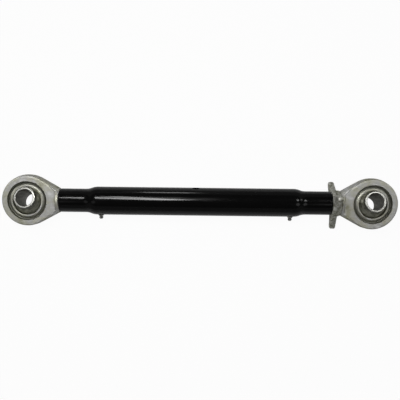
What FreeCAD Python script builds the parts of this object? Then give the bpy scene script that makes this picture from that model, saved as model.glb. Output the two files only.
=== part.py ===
import FreeCAD, Part
import math
import os
import re

import Sketcher

# A tractor top link at its shortest, lying on the rims of its two swivel balls. Millimetres.
# The origin is the middle of the left ball, +X runs to the right ball and +Z is up.

SIZES = {
    # The whole link
    "closed_length": (530, "between the ball centres with the link closed"),
    "thread_diameter": (27, "rod thread, over the crests"),
    "thread_clearance": (0.1, "radial, between a rod and the threads that it runs in"),
    "thread_entry": (1.5, "lead-in chamfer of a threaded bore"),
    # Turnbuckle tube
    "swage_wall": (4.6, "wall of the swaged ends, round their thread"),
    "swage_step": (3.5, "that the radius grows by towards the middle"),
    "tube_wall": (5, "in the middle"),
    "swage_length": (40, "of the narrow part at each end"),
    "swage_run": (18, "over which the tube grows to its full size"),
    "tube_edge": (2.4, "rounding of the end edges"),
    "tommy_diameter": (11, "cross hole for the tommy bar"),
    "tube_roll": (20.8, "degrees that the cross hole is turned from level"),
    # Forged eyes
    "eye_diameter": (79, "round the head, at the parting plane"),
    "eye_thickness": (24, "between the flat faces"),
    "eye_draft": (5, "degrees of forging draft each way from the parting plane"),
    "eye_roll": (14.3, "degrees that the heads lean on their balls"),
    "head_fillet": (2, "edge rounding round the head"),
    "neck_fillet": (7, "edge rounding where the flanks reach the collar"),
    "collar_diameter": (38, "round collar behind the rod"),
    "neck_length": (9.1, "from the round of the head to the face of the collar"),
    "collar_edge": (1, "rounding at the face of the collar"),
    "shoulder_length": (5, "of the full collar, from where the flat faces end"),
    "shoulder_chamfer": (1.7, "at the top of the shoulder"),
    "shoulder_fillet": (1.5, "rounding at the foot of the shoulder"),
    "collar_length": (18.6, "of the whole collar, its start being inside the head"),
    "rod_gap": (16.75, "that a rod would be short of the middle of the tube without a nut"),
    "rod_chamfer": (2, "at the end of the rod"),
    "groove_inside": (50.6, "diameter of the staked lip round the ball"),
    "groove_outside": (59.4, "outer diameter of the staking groove"),
    "groove_depth": (4.6, "to the start of its round floor"),
    "groove_lean": (1, "that each wall of the groove leans in"),
    "groove_floor": (1.5, "radius of the floor"),
    "cut_over": (1, "that a cut starts above the face"),
    # Swivel balls
    "ball_diameter": (48.3, "sphere"),
    "ball_width": (51, "over the rims"),
    "rim_diameter": (32.5, "neck of the ball"),
    "rim_edge": (0.8, "rounding at the rims"),
    "pin_bore": (25.7, "for a 25.4 mm pin"),
    "pin_chamfer": (0.6, "at both ends of the bore"),
    "seat_clearance": (0.1, "radial, between a ball and its seat"),
    # Lock nut
    "nut_thickness": (13.5, "along the rod"),
    "hub_diameter": (40, "outside of the hub"),
    "hub_edge": (1.2, "chamfer of the hub"),
    "lug_count": (3, "round the hub"),
    "nut_roll": (87.7, "degrees that the first lug is turned from level"),
    "lug_reach": (42.5, "from the axis to the tip of a lug"),
    "lug_root": (17, "from the axis to the straight root inside the hub"),
    "lug_base": (18.6, "across a lug at its root"),
    "lug_tip": (4.7, "radius of its tip"),
    "lug_start": (1.2, "from the tube side of the nut"),
    "lug_width": (9, "along the rod"),
    "lug_fillet": (2.4, "rounding of its edges"),
    # Grease nipples
    "nipple_inset": (62.4, "from each end of the tube"),
    "shank_diameter": (6, "pressed into the tube wall"),
    "flange_diameter": (9, "on the tube"),
    "flange_height": (0.9, "of its straight edge"),
    "waist_diameter": (5.2, "under the head"),
    "waist_low": (3.2, "above the tube"),
    "waist_high": (3.7, "above the tube"),
    "head_diameter": (6.2, "that a grease gun grips"),
    "head_low": (4.4, "above the tube"),
    "head_high": (5.4, "above the tube"),
    "tip_diameter": (4.2, "flat end of the head"),
    "nipple_height": (7, "above the tube"),
    "nipple_mouth": (2, "diameter of the way in"),
    "mouth_depth": (0.6, "down to the valve chamber"),
    "chamber_diameter": (3.4, "for the check ball and its spring"),
    "outlet_diameter": (1.6, "of the way into the tube"),
    "outlet_depth": (0.8, "of the lip that holds the spring"),
    "check_diameter": (3, "check ball"),
    "valve_clearance": (0.02, "between the check ball, its seat and its spring"),
    "coil_diameter": (2.2, "spring, at the middle of the wire"),
    "wire_diameter": (0.36, "spring wire"),
    "coil_count": (6, "turns of the spring"),
}

# Lengths closer than this are taken as the same when edges are told apart
NEAR = 0.01

doc = FreeCAD.newDocument("top_link")
sheet = doc.addObject("Spreadsheet::Sheet", "Sizes")
for row, (name, (number, note)) in enumerate(SIZES.items(), 1):
    sheet.set(f"A{row}", name)
    sheet.set(f"B{row}", str(number))
    sheet.setAlias(f"B{row}", name)
    sheet.set(f"C{row}", note)
doc.recompute()


def bound(text):
    """The expression with every size read from the sheet."""
    return re.sub(
        r"[a-z_]+", lambda m: "Sizes." + m[0] if m[0] in SIZES else m[0], text
    )


def value(text):
    return float(sheet.evalExpression(bound(text)))


def bind(thing, **expressions):
    """Binds properties; two underscores stand for the dot of a path inside a property."""
    for path, text in expressions.items():
        thing.setExpression(path.replace("__", "."), bound(text))


def place(thing, x="0", yaw="0", roll="0"):
    thing.setExpression(
        "Placement", bound(f"placement(vector({x}; 0; 0); rotation({yaw}; 0; {roll}))")
    )


# Sketches
def new_sketch(owner, name, plane="XY_Plane"):
    """A sketch on an origin plane of a body, or standing alone in the XY or XZ plane."""
    if owner:
        sketch = owner.newObject("Sketcher::SketchObject", name)
        origin = [f for f in owner.Origin.OriginFeatures if f.Role == plane]
        sketch.AttachmentSupport = [(origin[0], "")]
        sketch.MapMode = "FlatFace"
    else:
        sketch = doc.addObject("Sketcher::SketchObject", name)
        if plane == "XZ_Plane":
            turn = FreeCAD.Rotation(FreeCAD.Vector(1, 0, 0), 90)
            sketch.Placement = FreeCAD.Placement(FreeCAD.Vector(), turn)
    return sketch


def datum(sketch, kind, *where):
    """Adds one constraint whose last argument is an expression."""
    *refs, text = where
    index = sketch.addConstraint(Sketcher.Constraint(kind, *refs, value(text)))
    sketch.setExpression(f"Constraints[{index}]", bound(text))


def fix(sketch, piece, end, x, y):
    """Holds one end of a line or arc at (x, y)."""
    for kind, text, axis in (("DistanceX", x, -2), ("DistanceY", y, -1)):
        if text == "0":
            sketch.addConstraint(
                Sketcher.Constraint("PointOnObject", piece, end, axis)
            )
        else:
            datum(sketch, kind, piece, end, text)


def arc_between(first, last, radius, side):
    """The shorter arc from first to last, its centre on the left for side 1, on the right for -1."""
    chord = last - first
    left = FreeCAD.Vector(-chord.y, chord.x, 0).normalize()
    rise = math.sqrt(max(radius**2 - (chord.Length / 2) ** 2, 0))
    centre = (first + last) / 2 + left * rise * side
    return Part.Arc(first, centre - left * radius * side, last)


def draw_loop(sketch, points):
    """A closed loop. A point is (x, y), or (x, y, radius, side) where an arc leaves it."""
    ends = [FreeCAD.Vector(value(p[0]), value(p[1]), 0) for p in points]
    pieces = []
    for i, point in enumerate(points):
        first, last = ends[i], ends[(i + 1) % len(ends)]
        if len(point) == 2:
            pieces.append(sketch.addGeometry(Part.LineSegment(first, last)))
        else:
            arc = arc_between(first, last, value(point[2]), point[3])
            pieces.append(sketch.addGeometry(arc))
    # Part.Arc gives arcs that run anticlockwise, so a clockwise one starts at the far end
    heads = [2 if len(p) == 4 and p[3] < 0 else 1 for p in points]
    for i, point in enumerate(points):
        after = (i + 1) % len(points)
        sketch.addConstraint(
            Sketcher.Constraint(
                "Coincident", pieces[i], 3 - heads[i], pieces[after], heads[after]
            )
        )
        fix(sketch, pieces[i], heads[i], point[0], point[1])
        if len(point) == 4:
            datum(sketch, "Radius", pieces[i], point[2])


def draw_teardrop(sketch, centre, radius, end, half):
    """A round head at (centre, 0) with two flanks that run from it to (end, half) and (end, -half)."""
    c, r, e, h = value(centre), value(radius), value(end), value(half)
    touch = math.atan2(h, e - c) + math.copysign(math.acos(r / math.hypot(e - c, h)), e - c)
    x, y = c + r * math.cos(touch), r * math.sin(touch)
    upper, lower = FreeCAD.Vector(x, y, 0), FreeCAD.Vector(x, -y, 0)
    top, bottom = FreeCAD.Vector(e, h, 0), FreeCAD.Vector(e, -h, 0)
    crown = FreeCAD.Vector(c - math.copysign(r, e - c), 0, 0)
    flanks = [
        sketch.addGeometry(Part.LineSegment(top, upper)),
        sketch.addGeometry(Part.LineSegment(bottom, lower)),
    ]
    base = sketch.addGeometry(Part.LineSegment(top, bottom))
    head = sketch.addGeometry(Part.Arc(upper, crown, lower))
    start = sketch.getPoint(head, 1)
    first = 0 if start.distanceToPoint(upper) < start.distanceToPoint(lower) else 1
    sketch.addConstraint(Sketcher.Constraint("Tangent", flanks[first], 2, head, 1))
    sketch.addConstraint(Sketcher.Constraint("Tangent", flanks[1 - first], 2, head, 2))
    sketch.addConstraint(Sketcher.Constraint("Coincident", flanks[0], 1, base, 1))
    sketch.addConstraint(Sketcher.Constraint("Coincident", flanks[1], 1, base, 2))
    fix(sketch, base, 1, end, half)
    fix(sketch, base, 2, end, f"-({half})")
    fix(sketch, head, 3, centre, "0")
    datum(sketch, "Radius", head, radius)


def new_body(name):
    body = doc.addObject("PartDesign::Body", name)
    body.Label = name
    return body


def revolve(body, name, plane, axis, *loops):
    """Turns loops of a sketch a full turn about one of the sketch's own axes."""
    sketch = new_sketch(body, name + "_profile", plane)
    for points in loops:
        draw_loop(sketch, points)
    turned = body.newObject("PartDesign::Revolution", name)
    turned.Profile = sketch
    turned.ReferenceAxis = (sketch, [axis])
    turned.Angle = 360
    return turned


def edges_where(shape, test):
    """The numbers of the edges that pass the test on their bounding box."""
    return [i for i, edge in enumerate(shape.Edges, 1) if test(edge.BoundBox)]


# Where things are along the link, and radii from its axis
COLLAR = "(eye_diameter / 2 + neck_length)"
SHOULDER = f"({COLLAR} - shoulder_length)"
TUBE_START = COLLAR
NUT_START = f"(closed_length - {COLLAR} - nut_thickness)"
TUBE_MIDDLE = f"({TUBE_START} + {NUT_START}) / 2"
ROD_END = f"({TUBE_MIDDLE} - rod_gap)"
THREAD_BORE = "(thread_diameter / 2 + thread_clearance)"
SWAGE = f"({THREAD_BORE} + swage_wall)"
TUBE_SKIN = f"({SWAGE} + swage_step)"
TUBE_INSIDE = f"({TUBE_SKIN} - tube_wall)"


# Turnbuckle tube
def tube_end(start, way):
    """Points of one end of the tube's wall: outside from the end face inwards, then inside."""
    swell = "((swage_run / 2)^2 + (swage_step / 2)^2) / swage_step"
    outside = [
        (f"{start}", f"{THREAD_BORE} + thread_entry"),
        (f"{start}", f"{SWAGE} - tube_edge", "tube_edge", -way),
        (f"{start} {way:+d} * tube_edge", SWAGE),
        (f"{start} {way:+d} * swage_length", SWAGE, swell, way),
        (
            f"{start} {way:+d} * (swage_length + swage_run / 2)",
            f"{SWAGE} + swage_step / 2",
            swell,
            -way,
        ),
        (f"{start} {way:+d} * (swage_length + swage_run)", TUBE_SKIN),
    ]
    inside = [
        (f"{start} {way:+d} * (swage_length + swage_run)", TUBE_INSIDE),
        (f"{start} {way:+d} * swage_length", THREAD_BORE),
        (f"{start} {way:+d} * thread_entry", THREAD_BORE),
    ]
    return outside, inside


def backwards(points):
    """The same outline walked the other way: each arc leaves from its other end."""
    turned = []
    for i in range(len(points) - 1, -1, -1):
        arc = points[i - 1][2:] if i else ()
        turned.append(points[i][:2] + ((arc[0], -arc[1]) if arc else ()))
    return turned


left_outside, left_inside = tube_end(TUBE_START, 1)
right_outside, right_inside = tube_end(NUT_START, -1)
tube = new_body("tube")
revolve(
    tube,
    "tube_wall",
    "XY_Plane",
    "H_Axis",
    left_outside + backwards(right_outside) + backwards(right_inside) + left_inside,
)

cross = new_sketch(tube, "tommy_hole_circle", "XZ_Plane")
circle = cross.addGeometry(
    Part.Circle(
        FreeCAD.Vector(value(TUBE_MIDDLE), 0, 0),
        FreeCAD.Vector(0, 0, 1),
        value("tommy_diameter / 2"),
    )
)
fix(cross, circle, 3, TUBE_MIDDLE, "0")
datum(cross, "Radius", circle, "tommy_diameter / 2")
tommy_hole = tube.newObject("PartDesign::Pocket", "tommy_hole")
tommy_hole.Profile = cross
tommy_hole.Type = "ThroughAll"
tommy_hole.SideType = "Symmetric"

NIPPLES = {
    "left": f"{TUBE_START} + nipple_inset",
    "right": f"{NUT_START} - nipple_inset",
}
seats = new_sketch(tube, "nipple_seat_circles", "XZ_Plane")
for x in NIPPLES.values():
    circle = seats.addGeometry(
        Part.Circle(
            FreeCAD.Vector(value(x), 0, 0),
            FreeCAD.Vector(0, 0, 1),
            value("shank_diameter / 2"),
        )
    )
    fix(seats, circle, 3, x, "0")
    datum(seats, "Radius", circle, "shank_diameter / 2")
nipple_seats = tube.newObject("PartDesign::Pocket", "nipple_seats")
nipple_seats.Profile = seats
nipple_seats.Reversed = True
bind(nipple_seats, Length=f"2 * {TUBE_SKIN}")
tube.Tip = nipple_seats
place(tube, roll="tube_roll")


# Forged eyes with their threaded rods
def build_eye(name, **where):
    outline = new_sketch(None, name + "_outline")
    draw_teardrop(
        outline,
        "0",
        "eye_diameter / 2",
        f"{COLLAR} - collar_edge",
        "collar_diameter / 2",
    )
    head = doc.addObject("Part::Extrusion", name + "_head")
    head.Base = outline
    head.DirMode = "Normal"
    head.Solid = True
    bind(
        head,
        LengthFwd="eye_thickness / 2",
        LengthRev="eye_thickness / 2",
        TaperAngle="-eye_draft",
        TaperAngleRev="-eye_draft",
    )
    doc.recompute()

    # The rounding of the flanks grows towards the collar. The radii go once round the head.
    rounded = doc.addObject("Part::Fillet", name + "_rounded")
    rounded.Base = head
    face, shoulder = value("eye_thickness / 2"), value(SHOULDER)
    rings = edges_where(
        head.Shape,
        lambda b: abs(abs(b.ZMin) - face) + b.ZLength < NEAR < b.XLength,
    )
    radii = []
    for number in rings:
        points = [v.Point for v in head.Shape.Edges[number - 1].Vertexes]
        points.sort(key=lambda p: math.atan2(p.y, p.x) % math.tau)
        radii.append(
            (number,)
            + tuple(
                value("neck_fillet" if p.x > shoulder else "head_fillet") for p in points
            )
        )
    rounded.Edges = radii

    rod_profile = new_sketch(None, name + "_rod_profile")
    collar_root, collar_rim = f"{COLLAR} - collar_length", "collar_diameter / 2"
    draw_loop(
        rod_profile,
        [
            (collar_root, "0"),
            (ROD_END, "0"),
            (ROD_END, "thread_diameter / 2 - rod_chamfer"),
            (f"{ROD_END} - rod_chamfer", "thread_diameter / 2"),
            (COLLAR, "thread_diameter / 2"),
            (COLLAR, f"{collar_rim} - collar_edge", "collar_edge", 1),
            (f"{COLLAR} - collar_edge", collar_rim),
            (f"{SHOULDER} + shoulder_chamfer / 2", collar_rim),
            (f"{SHOULDER} - shoulder_chamfer / 2", f"{collar_rim} - shoulder_chamfer"),
            (collar_root, f"{collar_rim} - shoulder_chamfer"),
        ],
    )
    rod = doc.addObject("Part::Revolution", name + "_rod")
    rod.Source = rod_profile
    rod.Axis = FreeCAD.Vector(1, 0, 0)
    rod.Solid = True

    # The flat faces are pressed into the collar up to the shoulder
    flat_profile = new_sketch(None, name + "_flat_profile", "XZ_Plane")
    back, crown = f"{collar_root} - cut_over", f"{collar_rim} + cut_over"
    for side in (1, -1):
        draw_loop(
            flat_profile,
            [
                (back, f"{side} * eye_thickness / 2"),
                (
                    f"{SHOULDER} - shoulder_fillet",
                    f"{side} * eye_thickness / 2",
                    "shoulder_fillet",
                    side,
                ),
                (SHOULDER, f"{side} * (eye_thickness / 2 + shoulder_fillet)"),
                (SHOULDER, f"{side} * ({crown})"),
                (back, f"{side} * ({crown})"),
            ],
        )
    flats = doc.addObject("Part::Extrusion", name + "_flats")
    flats.Base = flat_profile
    flats.DirMode = "Normal"
    flats.Solid = True
    flats.Symmetric = True
    bind(flats, LengthFwd="eye_diameter")
    stem = doc.addObject("Part::Cut", name + "_stem")
    stem.Base = rod
    stem.Tool = flats
    forging = doc.addObject("Part::MultiFuse", name + "_forging")
    forging.Shapes = [rounded, stem]
    forging.Refine = True

    # The spherical seat, and a staking groove in each face
    seat_radius = "(ball_diameter / 2 + seat_clearance)"
    inside, outside = "groove_inside / 2", "groove_outside / 2"
    seat_profile = new_sketch(None, name + "_seat_profile", "XZ_Plane")
    draw_loop(
        seat_profile,
        [
            ("0", f"-{seat_radius}", seat_radius, 1),
            (seat_radius, "0", seat_radius, 1),
            ("0", seat_radius),
        ],
    )
    for side in (1, -1):
        up = f"{side} * (eye_thickness / 2 + cut_over)"
        low = f"{side} * (eye_thickness / 2 - groove_depth)"
        draw_loop(
            seat_profile,
            [
                (inside, up),
                (inside, f"{side} * eye_thickness / 2"),
                (f"{inside} + groove_lean", low, "groove_floor", side),
                (f"{outside} - groove_lean", low),
                (outside, f"{side} * eye_thickness / 2"),
                (outside, up),
            ],
        )
    seat = doc.addObject("Part::Revolution", name + "_seat")
    seat.Source = seat_profile
    seat.Axis = FreeCAD.Vector(0, 0, 1)
    seat.Solid = True
    eye = doc.addObject("Part::Cut", name)
    eye.Label = name
    eye.Base = forging
    eye.Tool = seat
    place(eye, **where)
    return eye


left_eye = build_eye("left_eye", roll="eye_roll")
right_eye = build_eye("right_eye", x="closed_length", yaw="180", roll="-eye_roll")


# Swivel balls
def build_ball(name, **where):
    body = new_body(name)
    bore, rim, ball = "pin_bore / 2", "rim_diameter / 2", "ball_diameter / 2"
    top, meet = "ball_width / 2", f"sqrt(({ball})^2 - ({rim})^2)"
    body.Tip = revolve(
        body,
        name + "_turned",
        "XZ_Plane",
        "V_Axis",
        [
            (f"{bore} + pin_chamfer", f"-{top}"),
            (f"{rim} - rim_edge", f"-{top}", "rim_edge", 1),
            (rim, f"-{top} + rim_edge"),
            (rim, f"-{meet}", ball, 1),
            (rim, meet),
            (rim, f"{top} - rim_edge", "rim_edge", 1),
            (f"{rim} - rim_edge", top),
            (f"{bore} + pin_chamfer", top),
            (bore, f"{top} - pin_chamfer"),
            (bore, f"-{top} + pin_chamfer"),
        ],
    )
    place(body, **where)
    return body


left_ball = build_ball("left_ball")
right_ball = build_ball("right_ball", x="closed_length")

# Lock nut: a threaded hub with cast lugs
lock_nut = new_body("lock_nut")
hub = "hub_diameter / 2"
revolve(
    lock_nut,
    "hub",
    "XY_Plane",
    "H_Axis",
    [
        ("0", f"{THREAD_BORE} + thread_entry"),
        ("thread_entry", THREAD_BORE),
        ("nut_thickness - thread_entry", THREAD_BORE),
        ("nut_thickness", f"{THREAD_BORE} + thread_entry"),
        ("nut_thickness", f"{hub} - hub_edge"),
        ("nut_thickness - hub_edge", hub),
        ("hub_edge", hub),
        ("0", f"{hub} - hub_edge"),
    ],
)
lug_outline = new_sketch(lock_nut, "lug_outline", "YZ_Plane")
bind(lug_outline, AttachmentOffset__Base__z="lug_start")
draw_teardrop(lug_outline, "lug_reach - lug_tip", "lug_tip", "lug_root", "lug_base / 2")
lug = lock_nut.newObject("PartDesign::Pad", "lug")
lug.Profile = lug_outline
bind(lug, Length="lug_width")
lugs = lock_nut.newObject("PartDesign::PolarPattern", "lugs")
lugs.Originals = [lug]
lugs.Axis = ([f for f in lock_nut.Origin.OriginFeatures if f.Role == "X_Axis"][0], [""])
lugs.Angle = 360
bind(lugs, Occurrences="lug_count")
lock_nut.Tip = lugs
doc.recompute()

faces = [value("lug_start"), value("lug_start + lug_width")]
lug_edges = []
for number, edge in enumerate(lugs.Shape.Edges, 1):
    middle = edge.valueAt((edge.FirstParameter + edge.LastParameter) / 2)
    on_face = min(abs(edge.BoundBox.XMin - x) for x in faces) + edge.BoundBox.XLength < NEAR
    if on_face and math.hypot(middle.y, middle.z) > value(hub) + NEAR:
        lug_edges.append(f"Edge{number}")
rounding = lock_nut.newObject("PartDesign::Fillet", "lug_rounding")
rounding.Base = (lugs, lug_edges)
bind(rounding, Radius="lug_fillet")
lock_nut.Tip = rounding
place(lock_nut, x=NUT_START, roll="nut_roll")


# Grease nipples, each with a check ball and a spring
def build_nipple(side, x):
    where = {"x": x, "roll": "tube_roll + 90"}
    body = new_body(side + "_nipple")
    skin, floor = TUBE_SKIN, TUBE_INSIDE
    roof = f"{skin} + nipple_height - mouth_depth"
    body.Tip = revolve(
        body,
        side + "_nipple_turned",
        "XZ_Plane",
        "V_Axis",
        [
            ("outlet_diameter / 2", floor),
            ("shank_diameter / 2", floor),
            ("shank_diameter / 2", skin),
            ("flange_diameter / 2", skin),
            ("flange_diameter / 2", f"{skin} + flange_height"),
            ("waist_diameter / 2", f"{skin} + waist_low"),
            ("waist_diameter / 2", f"{skin} + waist_high"),
            ("head_diameter / 2", f"{skin} + head_low"),
            ("head_diameter / 2", f"{skin} + head_high"),
            ("tip_diameter / 2", f"{skin} + nipple_height"),
            ("nipple_mouth / 2", f"{skin} + nipple_height"),
            ("nipple_mouth / 2", roof),
            ("chamber_diameter / 2", roof),
            ("chamber_diameter / 2", f"{floor} + outlet_depth"),
            ("outlet_diameter / 2", f"{floor} + outlet_depth"),
        ],
    )
    place(body, **where)

    check, mouth, coil = "check_diameter / 2", "nipple_mouth / 2", "coil_diameter / 2"
    seated = f"({roof} - sqrt(({check})^2 - ({mouth})^2) - valve_clearance)"
    ball = new_body(side + "_nipple_ball")
    ball.Tip = revolve(
        ball,
        side + "_nipple_sphere",
        "XZ_Plane",
        "V_Axis",
        [
            ("0", f"{seated} - {check}", check, 1),
            (check, seated, check, 1),
            ("0", f"{seated} + {check}"),
        ],
    )
    place(ball, **where)

    wire = "wire_diameter / 2"
    low = f"({floor} + outlet_depth + {wire} + valve_clearance)"
    high = f"({seated} - sqrt(({check} + {wire} + valve_clearance)^2 - ({coil})^2))"
    helix = doc.addObject("Part::Helix", side + "_nipple_helix")
    helix.LocalCoord = "Right-handed"
    helix.Style = "New style"
    bind(
        helix,
        Radius=coil,
        Height=f"{high} - {low}",
        Pitch=f"({high} - {low}) / coil_count",
        Placement__Base__z=low,
    )
    section = doc.addObject("Part::Circle", side + "_nipple_wire")
    section.Placement.Rotation = FreeCAD.Rotation(FreeCAD.Vector(1, 0, 0), 90)
    bind(section, Radius=wire, Placement__Base__x=coil, Placement__Base__z=low)
    spring = doc.addObject("Part::Sweep", side + "_nipple_spring")
    spring.Label = side + "_nipple_spring"
    spring.Sections = [section]
    spring.Spine = (helix, [])
    spring.Solid = True
    spring.Frenet = True
    place(spring, **where)
    return [body, ball, spring]


nodes = [tube, left_eye, right_eye, left_ball, right_ball, lock_nut]
for side, x in NIPPLES.items():
    nodes += build_nipple(side, x)
doc.recompute()

# Checks and export
for thing in doc.Objects:
    if "Invalid" in thing.State or "Error" in thing.State:
        raise RuntimeError(f"{thing.Name} did not build: {thing.State}")
os.makedirs("parts", exist_ok=True)
for node in nodes:
    if node.Shape.isNull() or not node.Shape.isValid() or not node.Shape.Solids:
        raise RuntimeError(f"{node.Label} is not a valid solid")
    node.Shape.exportStep(f"parts/{node.Label}.step")
    box = node.Shape.BoundBox
    print(
        f"{node.Label:22} {len(node.Shape.Solids)} solid {node.Shape.Volume / 1000:9.3f} cm3"
        f"  x {box.XMin:.2f} {box.XMax:.2f}  y {box.YMin:.2f} {box.YMax:.2f}  z {box.ZMin:.2f} {box.ZMax:.2f}"
    )
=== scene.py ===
import math

import bmesh
import bpy
from mathutils import Matrix, Vector


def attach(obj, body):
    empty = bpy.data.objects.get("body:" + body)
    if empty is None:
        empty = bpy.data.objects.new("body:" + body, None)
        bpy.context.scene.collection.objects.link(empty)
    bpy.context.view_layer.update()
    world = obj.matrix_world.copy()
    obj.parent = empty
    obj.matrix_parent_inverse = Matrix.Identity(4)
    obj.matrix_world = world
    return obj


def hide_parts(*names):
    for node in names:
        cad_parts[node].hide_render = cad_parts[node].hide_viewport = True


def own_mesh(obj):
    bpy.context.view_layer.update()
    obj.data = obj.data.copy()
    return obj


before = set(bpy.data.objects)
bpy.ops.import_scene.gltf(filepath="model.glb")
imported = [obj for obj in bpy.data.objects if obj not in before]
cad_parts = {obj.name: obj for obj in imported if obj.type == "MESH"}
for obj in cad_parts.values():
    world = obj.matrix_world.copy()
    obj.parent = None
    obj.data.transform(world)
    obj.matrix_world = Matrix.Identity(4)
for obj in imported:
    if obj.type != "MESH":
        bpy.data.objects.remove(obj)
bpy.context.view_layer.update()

MM = 0.001
SPAN = 530 * MM  # between the ball centres
FLOOR = -25.5 * MM  # the link lies on the rims of its balls
EYE_LEAN = math.radians(14.3)  # of each forged head on its ball

# Millimetres
COLLAR = 48.6  # from a ball centre to the face of the collar
ROD_END = 241.5  # from a ball centre to the end of its rod
NUT_START = 467.9  # from the left ball centre to the near face of the nut

# Each eye's own frame has its ball at the origin, its rod along +X and its flat faces up and down
EYE_PLACE = {
    "left": Matrix.Rotation(EYE_LEAN, 4, "X"),
    "right": Matrix.Translation((SPAN, 0, 0))
    @ Matrix.Rotation(EYE_LEAN, 4, "X")
    @ Matrix.Rotation(math.pi, 4, "Z"),
}


# Camera: nearly overhead, a little to the near side, turned by under a degree
CAMERA_TILT = math.radians(7.1)
CAMERA_TURN = math.radians(0.67)
CAMERA_AWAY = 831.5 * MM
AIM_PAST_AXIS = 2.65 * MM  # centres the link in the picture's height

camera = bpy.data.cameras.new("camera")
camera.sensor_width = 36
camera.lens = 48.2
camera.clip_start = 0.01
camera_object = bpy.data.objects.new("camera", camera)
bpy.context.scene.collection.objects.link(camera_object)
looking = Matrix.Rotation(CAMERA_TILT, 4, "X") @ Matrix.Rotation(CAMERA_TURN, 4, "Z")
aim = Vector((SPAN / 2, 0, 0)) + looking.to_3x3() @ Vector((0, AIM_PAST_AXIS, 0))
camera_object.matrix_world = Matrix.Translation(
    aim + looking.to_3x3() @ Vector((0, 0, CAMERA_AWAY))
) @ looking
bpy.context.scene.camera = camera_object
bpy.context.scene.view_settings.view_transform = "Standard"


# Materials
def linear(hex_colour):
    """An sRGB hex colour as linear red, green, blue and alpha."""
    parts = [int(hex_colour[i : i + 2], 16) / 255 for i in (0, 2, 4)]
    return [c / 12.92 if c <= 0.04045 else ((c + 0.055) / 1.055) ** 2.4 for c in parts] + [1]


def add(tree, kind, inputs, stops=(), **settings):
    """Adds a node. Each input gets a value, or is linked to the socket that is given for it.

    The stops of a colour ramp are (position, colour) pairs.
    """
    made = tree.nodes.new("ShaderNode" + kind)
    for name, setting in settings.items():
        setattr(made, name, setting)
    for name, given in inputs.items():
        if isinstance(given, bpy.types.NodeSocket):
            tree.links.new(given, made.inputs[name])
        else:
            made.inputs[name].default_value = given
    for position, _ in stops[2:]:
        made.color_ramp.elements.new(position)
    for element, (position, colour) in zip(made.color_ramp.elements if stops else (), stops):
        element.position = position
        element.color = colour
    return made


def grey(level):
    return [level, level, level, 1]


def new_material(name):
    material = bpy.data.materials.new(name)
    material.use_nodes = True
    material.node_tree.nodes.clear()
    coords = add(material.node_tree, "TexCoord", {}).outputs["Object"]
    return material, material.node_tree, coords


def black_enamel():
    """Sprayed gloss enamel on steel tube: near black, so it shows as its reflections alone.

    A faint orange peel ripples the edges of the highlight, handling leaves duller patches and
    dust leaves a few lighter specks. The low IOR keeps the tube's sides dark beside the white
    paper.
    """
    material, tree, coords = new_material("sprayed_gloss_black_enamel")
    peel = add(tree, "TexNoise", {"Vector": coords, "Scale": 1 / (2.6 * MM), "Detail": 2})
    haze = add(
        tree,
        "TexNoise",
        {"Vector": coords, "Scale": 1 / (34 * MM), "Detail": 5, "Roughness": 0.65},
    )
    dust = add(
        tree,
        "TexNoise",
        {"Vector": coords, "Scale": 1 / (1.1 * MM), "Detail": 2, "Roughness": 0.6},
    )
    bump = add(
        tree, "Bump", {"Height": peel.outputs["Fac"], "Strength": 0.02, "Distance": 0.2 * MM}
    )
    specks = add(
        tree, "MapRange", {"Value": dust.outputs["Fac"], "From Min": 0.7, "From Max": 0.78}
    )
    colour = add(
        tree,
        "Mix",
        {"Factor": specks.outputs["Result"], "A": linear("060606"), "B": linear("121312")},
        data_type="RGBA",
    )
    rough = add(
        tree,
        "MapRange",
        {
            "Value": haze.outputs["Fac"],
            "From Min": 0.3,
            "From Max": 0.75,
            "To Min": 0.1,
            "To Max": 0.17,
        },
    )
    surface = add(
        tree,
        "BsdfPrincipled",
        {
            "Base Color": colour.outputs["Result"],
            "Roughness": rough.outputs["Result"],
            "Normal": bump.outputs["Normal"],
            "IOR": 1.27,
        },
    )
    add(tree, "OutputMaterial", {"Surface": surface.outputs["BSDF"]})
    return material


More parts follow.
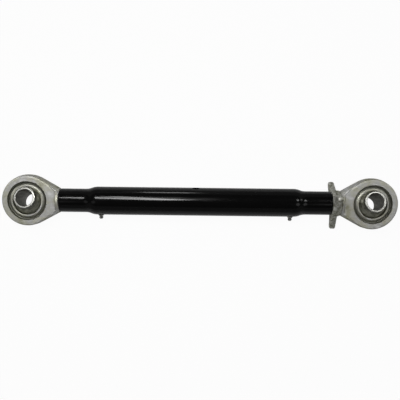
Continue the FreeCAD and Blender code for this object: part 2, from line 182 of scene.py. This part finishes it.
def forged_zinc():
    """Drop-forged steel, shot-blasted and bright zinc plated: a matt silver-grey skin.

    Blasting leaves fine grit, forging leaves soft waves and a few scale pits, and the plating
    turns faintly olive in clouds. The grit is drawn coarser than real, so that it shows.
    """
    material, tree, coords = new_material("blasted_forging_bright_zinc")
    waves = add(
        tree,
        "TexNoise",
        {"Vector": coords, "Scale": 1 / (7 * MM), "Detail": 4, "Roughness": 0.6},
    )
    grit = add(
        tree,
        "TexNoise",
        {"Vector": coords, "Scale": 1 / (0.9 * MM), "Detail": 3, "Roughness": 0.6},
    )
    clouds = add(
        tree,
        "TexNoise",
        {"Vector": coords, "Scale": 1 / (16 * MM), "Detail": 5, "Roughness": 0.62},
    )
    pits = add(tree, "TexVoronoi", {"Vector": coords, "Scale": 1 / (3.4 * MM)}, feature="F1")
    pitted = add(
        tree,
        "MapRange",
        {"Value": pits.outputs["Distance"], "From Min": 0.06, "From Max": 0.16},
    )
    low = add(
        tree, "Bump", {"Height": waves.outputs["Fac"], "Strength": 0.5, "Distance": 0.6 * MM}
    )
    scale = add(
        tree,
        "Bump",
        {
            "Height": pitted.outputs["Result"],
            "Strength": 0.18,
            "Distance": 0.3 * MM,
            "Normal": low.outputs["Normal"],
        },
    )
    fine = add(
        tree,
        "Bump",
        {
            "Height": grit.outputs["Fac"],
            "Strength": 0.6,
            "Distance": 0.16 * MM,
            "Normal": scale.outputs["Normal"],
        },
    )
    colour = add(
        tree,
        "ValToRGB",
        {"Fac": clouds.outputs["Fac"]},
        stops=[
            (0.34, linear("9E9D8A")),
            (0.47, linear("B8B7AB")),
            (0.56, linear("B6B6B3")),
            (0.68, linear("CCCCCA")),
        ],
    )
    rough = add(
        tree,
        "MapRange",
        {
            "Value": waves.outputs["Fac"],
            "From Min": 0.3,
            "From Max": 0.7,
            "To Min": 0.56,
            "To Max": 0.68,
        },
    )
    surface = add(
        tree,
        "BsdfPrincipled",
        {
            "Base Color": colour.outputs["Color"],
            "Metallic": 1.0,
            "Specular Tint": linear("2A2A28"),
            "Roughness": rough.outputs["Result"],
            "Normal": fine.outputs["Normal"],
        },
    )
    add(tree, "OutputMaterial", {"Surface": surface.outputs["BSDF"]})
    return material


def turned(name, side, colour_low, colour_high, roughness, pitch, strength, lean, painted_groove_shade=1.0):
    """Turned steel: rings round the bore axis, which streak the reflections.

    The pitch in millimetres is drawn coarser than real tool marks, so that the rings show. The
    bore axis leans by this angle about X. Down in the groove and the seat the colour is painted
    darker, to the given share of its brightness: a painted shade.
    """
    material, tree, coords = new_material(f"{name}_{side}")
    centre = add(
        tree, "Mapping", {"Vector": coords, "Location": (-SPAN if side == "right" else 0, 0, 0)}
    )
    own = add(tree, "Mapping", {"Vector": centre.outputs["Vector"], "Rotation": (-lean, 0, 0)})
    parts = add(tree, "SeparateXYZ", {"Vector": own.outputs["Vector"]})
    flat = add(tree, "CombineXYZ", {"X": parts.outputs["X"], "Y": parts.outputs["Y"]})
    radius = add(tree, "VectorMath", {0: flat.outputs["Vector"]}, operation="LENGTH")
    # Rings of about equal pitch on the faces and on the slopes
    along = add(
        tree, "Math", {0: radius.outputs["Value"], 1: parts.outputs["Z"]}, operation="SUBTRACT"
    )
    line = add(tree, "CombineXYZ", {"X": along.outputs["Value"]})
    rings = add(
        tree,
        "TexNoise",
        {
            "Vector": line.outputs["Vector"],
            "Scale": 1 / (pitch * MM),
            "Detail": 3,
            "Roughness": 0.6,
        },
    )
    clouds = add(
        tree,
        "TexNoise",
        {"Vector": coords, "Scale": 1 / (6 * MM), "Detail": 5, "Roughness": 0.65},
    )
    bump = add(
        tree, "Bump", {"Height": rings.outputs["Fac"], "Strength": strength, "Distance": 0.15 * MM}
    )
    shade = add(
        tree,
        "Math",
        {0: rings.outputs["Fac"], 1: clouds.outputs["Fac"]},
        operation="ADD",
    )
    mixed = add(
        tree,
        "MapRange",
        {"Value": shade.outputs["Value"], "From Min": 0.75, "From Max": 1.25},
    )
    colour = add(
        tree,
        "Mix",
        {"Factor": mixed.outputs["Result"], "A": linear(colour_low), "B": linear(colour_high)},
        data_type="RGBA",
    )
    height = add(tree, "Math", {0: parts.outputs["Z"]}, operation="ABSOLUTE")
    # Painted shade: towards the mid-plane, down in the groove and the seat, the colour darkens
    painted_shade_factor = add(
        tree,
        "MapRange",
        {
            "Value": height.outputs["Value"],
            "From Min": 8 * MM,
            "From Max": 11.4 * MM,
            "To Min": painted_groove_shade,
            "To Max": 1.0,
        },
    )
    painted_shade_colour = add(
        tree,
        "VectorMath",
        {0: colour.outputs["Result"], "Scale": painted_shade_factor.outputs["Result"]},
        operation="SCALE",
    )
    rough = add(
        tree,
        "MapRange",
        {
            "Value": rings.outputs["Fac"],
            "From Min": 0.3,
            "From Max": 0.7,
            "To Min": roughness - 0.06,
            "To Max": roughness + 0.06,
        },
    )
    surface = add(
        tree,
        "BsdfPrincipled",
        {
            "Base Color": painted_shade_colour.outputs["Vector"],
            "Metallic": 1.0,
            "Specular Tint": linear("7C7C76"),
            "Roughness": rough.outputs["Result"],
            "Normal": bump.outputs["Normal"],
        },
    )
    add(tree, "OutputMaterial", {"Surface": surface.outputs["BSDF"]})
    return material


def cast_zinc():
    """Cast steel, bright zinc plated: rough and cloudy from the sand of its mould.

    The sand marks are drawn coarser than real, so that they show.
    """
    material, tree, coords = new_material("casting_bright_zinc")
    sand = add(
        tree,
        "TexNoise",
        {"Vector": coords, "Scale": 1 / (1.9 * MM), "Detail": 4, "Roughness": 0.65},
    )
    clouds = add(
        tree,
        "TexNoise",
        {"Vector": coords, "Scale": 1 / (5 * MM), "Detail": 4, "Roughness": 0.65},
    )
    bump = add(
        tree, "Bump", {"Height": sand.outputs["Fac"], "Strength": 0.4, "Distance": 0.4 * MM}
    )
    colour = add(
        tree,
        "ValToRGB",
        {"Fac": clouds.outputs["Fac"]},
        stops=[(0.36, linear("7A7A6E")), (0.5, linear("ACACA2")), (0.64, linear("CCCCC8"))],
    )
    surface = add(
        tree,
        "BsdfPrincipled",
        {
            "Base Color": colour.outputs["Color"],
            "Metallic": 1.0,
            "Specular Tint": linear("6E6E68"),
            "Roughness": 0.62,
            "Normal": bump.outputs["Normal"],
        },
    )
    add(tree, "OutputMaterial", {"Surface": surface.outputs["BSDF"]})
    return material


def small_steel(name, colour, roughness, grain):
    """Steel of the small parts. A fine grain, in millimetres, breaks up its shine."""
    material, tree, coords = new_material(name)
    marks = add(tree, "TexNoise", {"Vector": coords, "Scale": 1 / (grain * MM), "Detail": 2})
    bump = add(
        tree, "Bump", {"Height": marks.outputs["Fac"], "Strength": 0.15, "Distance": 0.05 * MM}
    )
    surface = add(
        tree,
        "BsdfPrincipled",
        {
            "Base Color": linear(colour),
            "Metallic": 1.0,
            "Roughness": roughness,
            "Normal": bump.outputs["Normal"],
        },
    )
    add(tree, "OutputMaterial", {"Surface": surface.outputs["BSDF"]})
    return material


ENAMEL = black_enamel()
FORGED = forged_zinc()
CAST = cast_zinc()
THREAD = small_steel("rolled_thread_bright_zinc", "9B9B94", 0.36, 0.5)
NIPPLE = small_steel("turned_nipple_zinc", "8C8C88", 0.34, 0.4)
CHECK_BALL = small_steel("ground_check_ball_steel", "C8C8C8", 0.12, 0.2)
SPRING = small_steel("drawn_spring_wire", "8A8A8A", 0.3, 0.3)


# Mesh helpers
def merged_copy(node):
    """The mesh of a CAD node with its loose triangles merged."""
    bm = bmesh.new()
    bm.from_mesh(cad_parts[node].data)
    bmesh.ops.remove_doubles(bm, verts=bm.verts[:], dist=0.002 * MM)
    bmesh.ops.recalc_face_normals(bm, faces=bm.faces[:])
    return bm


def new_object(name, bm, materials, sharp=35):
    """An object of this mesh, shaded smooth but for edges over the given angle."""
    mesh = bpy.data.meshes.new(name)
    bm.to_mesh(mesh)
    bm.free()
    for material in materials:
        mesh.materials.append(material)
    mesh.shade_smooth()
    mesh.set_sharp_from_angle(angle=math.radians(sharp))
    made = bpy.data.objects.new(name, mesh)
    bpy.context.scene.collection.objects.link(made)
    return made


def draw(bm, path, closed=False):
    """Draws a chain in the XZ plane, in millimetres.

    A step is a point (x, z), or ("arc", x, z, degrees) round (x, z).
    """
    chain = []
    for step in path:
        if step[0] == "arc":
            _, x, z, degrees = step
            swept = bmesh.ops.spin(
                bm,
                geom=[chain[-1]],
                cent=(x * MM, 0, z * MM),
                axis=(0, -1, 0),
                angle=math.radians(degrees),
                steps=max(3, round(abs(degrees) / 3)),
            )
            chain += [v for v in swept["geom_last"] if isinstance(v, bmesh.types.BMVert)]
        else:
            chain.append(bm.verts.new((step[0] * MM, 0, step[1] * MM)))
            if len(chain) > 1:
                bm.edges.new((chain[-2], chain[-1]))
    if closed:
        bm.edges.new((chain[-1], chain[0]))


def lathe(bm, steps=160):
    """Turns the profile a full turn about Z."""
    bmesh.ops.spin(
        bm,
        geom=bm.verts[:] + bm.edges[:],
        axis=(0, 0, 1),
        cent=(0, 0, 0),
        angle=2 * math.pi,
        steps=steps,
        use_merge=True,
    )
    bmesh.ops.remove_doubles(bm, verts=bm.verts[:], dist=0.001 * MM)
    bmesh.ops.recalc_face_normals(bm, faces=bm.faces[:])


def applied(thing):
    """The object's mesh with its modifiers applied."""
    bpy.context.view_layer.update()
    graph = bpy.context.evaluated_depsgraph_get()
    return bpy.data.meshes.new_from_object(thing.evaluated_get(graph), depsgraph=graph)


def soften(bm, name, voxel, smooth, relief, grain):
    """A forged or cast skin: one closed mesh with soft corners and a slight unevenness."""
    blank = new_object(name + "_blank", bm, [])
    remesh = blank.modifiers.new("skin", "REMESH")
    remesh.mode = "VOXEL"
    remesh.voxel_size = voxel * MM
    remesh.use_smooth_shade = True
    rounding = blank.modifiers.new("rounding", "SMOOTH")
    rounding.factor = 0.5
    rounding.iterations = smooth
    clouds = bpy.data.textures.new(name + "_unevenness", "CLOUDS")
    clouds.noise_scale = grain * MM
    clouds.noise_depth = 3
    uneven = blank.modifiers.new("uneven", "DISPLACE")
    uneven.texture = clouds
    uneven.texture_coords = "LOCAL"
    uneven.strength = relief * MM
    uneven.mid_level = 0.5
    return blank


def cut(thing, tool):
    """Cuts the tool out of the object. The cut faces keep the tool's material."""
    boolean = thing.modifiers.new("cut", "BOOLEAN")
    boolean.operation = "DIFFERENCE"
    boolean.solver = "EXACT"
    boolean.object = tool
    boolean.material_mode = "TRANSFER"


def discard(*things):
    for thing in things:
        bpy.data.objects.remove(thing)


# Forged eyes
def eye_head(side, staked):
    """The forged head: a soft blank from the CAD shape, with its seat and grooves turned in."""
    bm = merged_copy(f"{side}_eye")
    bmesh.ops.transform(bm, matrix=EYE_PLACE[side].inverted(), verts=bm.verts[:])
    bmesh.ops.bisect_plane(
        bm,
        geom=bm.verts[:] + bm.edges[:] + bm.faces[:],
        plane_co=((COLLAR - 0.01) * MM, 0, 0),
        plane_no=(1, 0, 0),
        clear_outer=True,
    )
    bmesh.ops.holes_fill(bm, edges=[e for e in bm.edges if e.is_boundary])
    # A plug fills the CAD seat, so that the blank is solid where the tools cut it
    bmesh.ops.create_cone(
        bm,
        cap_ends=True,
        segments=96,
        radius1=31 * MM,
        radius2=31 * MM,
        depth=24 * MM,
    )
    # The forging skin ends in a low ridge where the faces are milled flat beside the collar
    for left in (1, -1):
        for up in (1, -1):
            foot = Vector((44.4, 14.6 * left, 11.4 * up))
            tip = Vector((35.2, 23.4 * left, 11.5 * up))
            ridge = (tip - foot).to_track_quat("Z", "Y").to_matrix().to_4x4()
            ridge.translation = (foot + tip) / 2 * MM
            bmesh.ops.create_cone(
                bm,
                cap_ends=True,
                segments=20,
                radius1=1.6 * MM,
                radius2=0.7 * MM,
                depth=(tip - foot).length * MM,
                matrix=ridge,
            )
    blank = soften(bm, f"{side}_eye", voxel=0.55, smooth=3, relief=0.16, grain=14)
    blank.data.materials.append(FORGED)

    # The staked lip leans in over the ball, with a groove behind it, on both faces
    seat = bmesh.new()
    draw(
        seat,
        [
            (0, -14),
            (22.9, -14),
            (22.7, -12.3),
            (21.9, -11.9),
            (21.45, -11.45),
            ("arc", 0, 0, 56.2),
            (21.9, 11.9),
            (22.7, 12.3),
            (22.9, 14),
            (0, 14),
        ],
    )
    lathe(seat)
    grooves = bmesh.new()
    for way in (1, -1):
        draw(
            grooves,
            [(22.7, way * 14), (22.9, way * 12.15), (24.2, way * 11.9), (25.6, way * 11.0)]
            + [(26.8, way * 9.6), (27.7, way * 8.1), (28.3, way * 7.5), (28.9, way * 7.6)]
            + [(29.4, way * 8.6), (29.8, way * 11.5), (30.2, way * 12.1), (30.5, way * 14)],
            closed=True,
        )
    lathe(grooves)
    tools = [new_object("seat_tool", seat, [staked]), new_object("groove_tool", grooves, [staked])]
    for tool in tools:
        cut(blank, tool)
    mesh = applied(blank)
    discard(blank, *tools)
    finished = bmesh.new()
    finished.from_mesh(mesh)
    bmesh.ops.transform(finished, matrix=EYE_PLACE[side], verts=finished.verts[:])
    head = new_object(f"{side}_eye_head", finished, [FORGED, staked], sharp=40)
    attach(head, f"{side}_eye")
    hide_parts(f"{side}_eye")


def rod_thread(side, pitch=3.0, crest=13.5, depth=1.75, steps=40):
    """The rolled thread of a rod, right-hand on the left rod and left-hand on the right one."""
    start = COLLAR - 0.1
    turns = math.ceil((ROD_END - start) / pitch) + 2
    bm = bmesh.new()
    # One turn of the thread, drawn along Z: root, flank, crest, flank
    draw(
        bm,
        [
            (crest - depth, 0),
            (crest - depth, 0.75),
            (crest, 1.69),
            (crest, 2.06),
            (crest - depth, pitch),
        ],
    )
    bmesh.ops.translate(bm, verts=bm.verts[:], vec=(0, 0, (start - pitch - 1) * MM))
    bmesh.ops.spin(
        bm,
        geom=bm.verts[:] + bm.edges[:],
        axis=(0, 0, 1),
        cent=(0, 0, 0),
        dvec=(0, 0, pitch * MM / steps),
        angle=2 * math.pi * turns * (1 if side == "left" else -1),
        steps=steps * turns,
    )
    bmesh.ops.remove_doubles(bm, verts=bm.verts[:], dist=0.002 * MM)
    for height, outer in ((start, False), (ROD_END, True)):
        bmesh.ops.bisect_plane(
            bm,
            geom=bm.verts[:] + bm.edges[:] + bm.faces[:],
            plane_co=(0, 0, height * MM),
            plane_no=(0, 0, 1),
            clear_outer=outer,
            clear_inner=not outer,
        )
    bmesh.ops.holes_fill(bm, edges=[e for e in bm.edges if e.is_boundary])
    bmesh.ops.recalc_face_normals(bm, faces=bm.faces[:])
    bmesh.ops.transform(
        bm, matrix=EYE_PLACE[side] @ Matrix.Rotation(math.pi / 2, 4, "Y"), verts=bm.verts[:]
    )
    rod = new_object(f"{side}_eye_thread", bm, [THREAD], sharp=30)
    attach(rod, f"{side}_eye")
    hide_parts(f"{side}_eye")


def swivel_ball(side, ball_steel, rim_steel, bore_steel):
    """The turned ball: a sphere with a neck and a rounded rim each way, and a chamfered pin bore."""
    bm = bmesh.new()
    neck, sphere, top, bore, edge = 16.25, 24.15, 25.5, 12.85, 1.2
    # The neck meets the sphere at this angle from the bore axis, and at this height
    meet = math.degrees(math.asin(neck / sphere))
    foot = sphere * math.cos(math.radians(meet))
    draw(
        bm,
        [
            (bore, 0),
            (bore, top - 0.6),
            (bore + 0.6, top),
            (neck - edge, top),
            ("arc", neck - edge, top - edge, -90),
            (neck, foot + 0.5),
            (neck + 0.35, foot - 0.33),
            ("arc", 0, 0, -2 * (90 - meet) + 2.4),
            (neck, -foot - 0.5),
            (neck, -top + edge),
            ("arc", neck - edge, -top + edge, -90),
            (bore + 0.6, -top),
            (bore, -top + 0.6),
        ],
        closed=True,
    )
    lathe(bm, steps=192)
    for face in bm.faces:
        middle = face.calc_center_median()
        if math.hypot(middle.x, middle.y) < (bore + 0.01) * MM:
            face.material_index = 2
        elif abs(middle.z) > (foot + 0.3) * MM:
            face.material_index = 1
    if side == "right":
        bmesh.ops.translate(bm, verts=bm.verts[:], vec=(SPAN, 0, 0))
    ball = new_object(f"{side}_swivel_ball", bm, [ball_steel, rim_steel, bore_steel], sharp=30)
    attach(ball, f"{side}_ball")
    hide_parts(f"{side}_ball")


for side in ("left", "right"):
    eye_head(
        side,
        # The staked lip's last argument, 0.85, paints shade into its groove and seat
        turned(
            "staked_lip_bright_zinc", side, "84847A", "AAAAA0", 0.48, 2.0, 0.3, EYE_LEAN, 0.85
        ),
    )
    rod_thread(side)
    swivel_ball(
        side,
        turned("turned_ball_steel", side, "42423A", "A4A496", 0.36, 2.4, 0.9, 0),
        turned("faced_rim_bright_zinc", side, "96968F", "ACACA8", 0.36, 0.8, 0.06, 0),
        turned("bored_dark_steel", side, "90908E", "C4C4C0", 0.5, 2.2, 0.3, 0),
    )


# Lock nut
def cast_nut():
    """The lock nut: a soft skin over the CAD shape, with a chamfered bore."""
    bm = merged_copy("lock_nut")
    blank = soften(bm, "lock_nut", voxel=0.6, smooth=11, relief=0.35, grain=7)
    blank.data.materials.append(CAST)
    bore = bmesh.new()
    draw(
        bore,
        [
            (0, -1),
            (16.3, -1),
            (15.3, 0),
            (13.65, 1.6),
            (13.65, 11.9),
            (15.3, 13.5),
            (16.3, 14.5),
            (0, 14.5),
        ],
    )
    lathe(bore, steps=96)
    bmesh.ops.transform(
        bore,
        matrix=Matrix.Translation((NUT_START * MM, 0, 0)) @ Matrix.Rotation(math.pi / 2, 4, "Y"),
        verts=bore.verts[:],
    )
    tool = new_object("nut_bore_tool", bore, [THREAD])
    cut(blank, tool)
    mesh = applied(blank)
    discard(blank, tool)
    finished = bmesh.new()
    finished.from_mesh(mesh)
    nut = new_object("lock_nut_casting", finished, [CAST, THREAD], sharp=40)
    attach(nut, "lock_nut")
    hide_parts("lock_nut")


cast_nut()


def valve_spring(side):
    """The CAD spring as it is, with its loose triangles merged, on a mesh of its own."""
    bm = merged_copy(f"{side}_nipple_spring")
    coil = new_object(f"{side}_valve_spring", bm, [SPRING], sharp=60)
    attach(coil, "tube")
    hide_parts(f"{side}_nipple_spring")
    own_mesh(coil)


for side in ("left", "right"):
    valve_spring(side)

# The pieces that keep their CAD shape
FINISHES = {
    "tube": ENAMEL,
    "left_nipple": NIPPLE,
    "right_nipple": NIPPLE,
    "left_nipple_ball": CHECK_BALL,
    "right_nipple_ball": CHECK_BALL,
}
for node, material in FINISHES.items():
    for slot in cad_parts[node].material_slots:
        slot.material = material


# Studio
DIRECT_WHITE = 0.96  # the rest is lit paper, which keeps the shadow
MIRRORED_WHITE = 0.2  # in metal, where the lit paper's own shade shows too


def studio_floor():
    """Pale coved paper that shows white, also in the metal, and keeps a faint shadow."""
    material, tree, coords = new_material("pale_studio_paper")
    fibres = add(tree, "TexNoise", {"Vector": coords, "Scale": 1 / (3 * MM), "Detail": 3})
    tone = add(
        tree,
        "Mix",
        {"Factor": fibres.outputs["Fac"], "A": linear("B4B4B4"), "B": linear("BABABA")},
        data_type="RGBA",
    )
    paper = add(
        tree, "BsdfPrincipled", {"Base Color": tone.outputs["Result"], "Roughness": 0.9}
    )
    path = add(tree, "LightPath", {})
    mirrored = add(
        tree,
        "Math",
        {0: path.outputs["Is Glossy Ray"], 1: path.outputs["Is Transmission Ray"]},
        operation="MAXIMUM",
    )
    dimmed = add(
        tree, "Math", {0: mirrored.outputs["Value"], 1: MIRRORED_WHITE}, operation="MULTIPLY"
    )
    direct = add(
        tree, "Math", {0: path.outputs["Is Camera Ray"], 1: DIRECT_WHITE}, operation="MULTIPLY"
    )
    share = add(
        tree,
        "Math",
        {0: direct.outputs["Value"], 1: dimmed.outputs["Value"]},
        operation="MAXIMUM",
    )
    white = add(tree, "Emission", {"Color": grey(1), "Strength": 1.0})
    mixed = add(
        tree,
        "MixShader",
        {0: share.outputs["Value"], 1: paper.outputs["BSDF"], 2: white.outputs["Emission"]},
    )
    add(tree, "OutputMaterial", {"Surface": mixed.outputs["Shader"]})
    bm = bmesh.new()
    bmesh.ops.create_circle(bm, cap_ends=True, segments=96, radius=6)
    rim = [e for e in bm.edges if e.is_boundary]
    wall = bmesh.ops.extrude_edge_only(bm, edges=rim)
    top = [v for v in wall["geom"] if isinstance(v, bmesh.types.BMVert)]
    bmesh.ops.translate(bm, verts=top, vec=(0, 0, 4))
    foot = [e for e in bm.edges if all(v.co.z == 0 for v in e.verts)]
    bmesh.ops.bevel(
        bm, geom=foot, offset=1.2, segments=10, profile=0.5, affect="EDGES", material=-1
    )
    bmesh.ops.translate(bm, verts=bm.verts[:], vec=(SPAN / 2, 0, FLOOR))
    new_object("studio_floor", bm, [material], sharp=80)


def softbox(name, place, size, radiance):
    """A rectangular softbox of this width and height that faces the middle of the link."""
    light = bpy.data.lights.new(name, "AREA")
    light.shape = "RECTANGLE"
    light.size, light.size_y = size
    light.energy = radiance * math.pi * size[0] * size[1]
    holder = bpy.data.objects.new(name, light)
    bpy.context.scene.collection.objects.link(holder)
    back = Vector(place) - Vector((SPAN / 2, 0, 0))
    holder.matrix_world = (
        Matrix.Translation(place) @ back.to_track_quat("Z", "Y").to_matrix().to_4x4()
    )


studio_floor()
# The key boxes and their spill make the long highlight on the tube, the left and right boxes
# light its ends and the eyes, and the back strip makes the short line above the highlight
softbox("key_softbox_left", (0.0175, 0.16, 0.813), (0.095, 0.4), 27.0)
softbox("key_softbox_right", (0.105, 0.22, 0.813), (0.075, 0.4), 22.0)
softbox("key_spill", (0.19, 0.25, 0.813), (0.09, 0.3), 2.4)
softbox("key_spill_end", (0.272, 0.25, 0.813), (0.055, 0.2), 1.0)
softbox("left_spill", (-0.11, 0.18, 0.813), (0.08, 0.12), 1.0)
softbox("left_softbox", (-2.1, 0.5, 0.9), (0.7, 0.7), 8.0)
softbox("left_fill", (-0.42, -0.38, 0.975), (0.4, 0.45), 0.7)
softbox("right_fill", (SPAN + 0.42, -0.38, 0.975), (0.4, 0.45), 1.7)
softbox("right_softbox", (0.8, 0.22, 0.8), (0.18, 0.18), 12.0)
softbox("right_rim_softbox", (1.4, 0.35, 0.7), (0.3, 0.3), 5.0)
softbox("back_strip", (0.135, 1.3, 0.5), (0.2, 0.17), 10.0)

world = bpy.data.worlds.new("studio")
world.use_nodes = True
bpy.context.scene.world = world
room = world.node_tree
room.nodes.clear()
direction = add(room, "TexCoord", {}).outputs["Generated"]
height = add(room, "SeparateXYZ", {"Vector": direction})
shade = add(
    room,
    "ValToRGB",
    {"Fac": height.outputs["Z"]},
    stops=[(0.0, grey(0.3)), (0.25, grey(0.12)), (0.6, grey(0.06))],
)
backdrop = add(room, "Background", {"Color": shade.outputs["Color"], "Strength": 1.0})
add(room, "OutputWorld", {"Surface": backdrop.outputs["Background"]})
